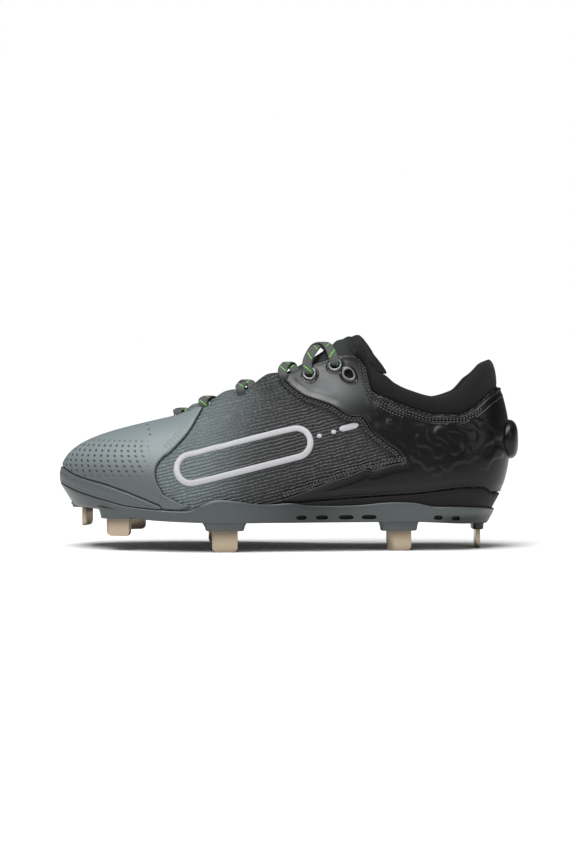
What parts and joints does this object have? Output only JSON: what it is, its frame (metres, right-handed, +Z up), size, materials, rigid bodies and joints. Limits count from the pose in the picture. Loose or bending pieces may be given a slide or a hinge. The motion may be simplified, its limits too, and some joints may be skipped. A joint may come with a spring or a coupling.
{
  "type": "baseball cleat",
  "caption": "Low-cut left baseball cleat with flat laces, padded collar, moulded heel overlay and steel blades under a cupped plate, standing empty",
  "frame": {"origin": "on the floor under the middle of the shoe's bounding box", "axes": "toe points to -X, heel to +X, +Z is up, and the lateral side of this left shoe faces -Y"},
  "size_m": [0.2944, 0.0968, 0.1348],
  "materials": {
    "plate": "satin moulded plastic",
    "blade_steel": "pressed steel",
    "foam": "matte foam",
    "liner": "woven liner",
    "knit": "ribbed textile",
    "toe_skin": "matte coated leather",
    "overlay": "glossy moulded film",
    "rand": "matte rubber",
    "pad": "padded textile",
    "tongue_cloth": "padded textile",
    "ring": "moulded rings",
    "lace": "flat woven lace"
  },
  "bodies": {
    "root": {"outsole": "plate", "midsole": "foam", "insole": "liner", "upper": "knit", "vamp_overlay": "toe_skin", "quarter_overlay": "overlay", "toe_rand": "rand", "heel_pod": "overlay", "collar": "pad", "tongue": "tongue_cloth", "blade_toe": "blade_steel", "blade_toe_lateral": "blade_steel", "blade_toe_medial": "blade_steel", "blade_ball_lateral": "blade_steel", "blade_ball_medial": "blade_steel", "blade_heel_lateral": "blade_steel", "blade_heel_medial": "blade_steel", "blade_heel_rear": "blade_steel", "eyelet_lateral_front": "ring", "eyelet_lateral_pair": "ring", "eyelet_medial_front": "ring", "eyelet_medial_pair": "ring", "lace_cross_1": "lace", "lace_cross_2": "lace", "lace_cross_3": "lace", "lace_cross_4": "lace", "lace_cross_5": "lace"}
  },
  "joints": []
}
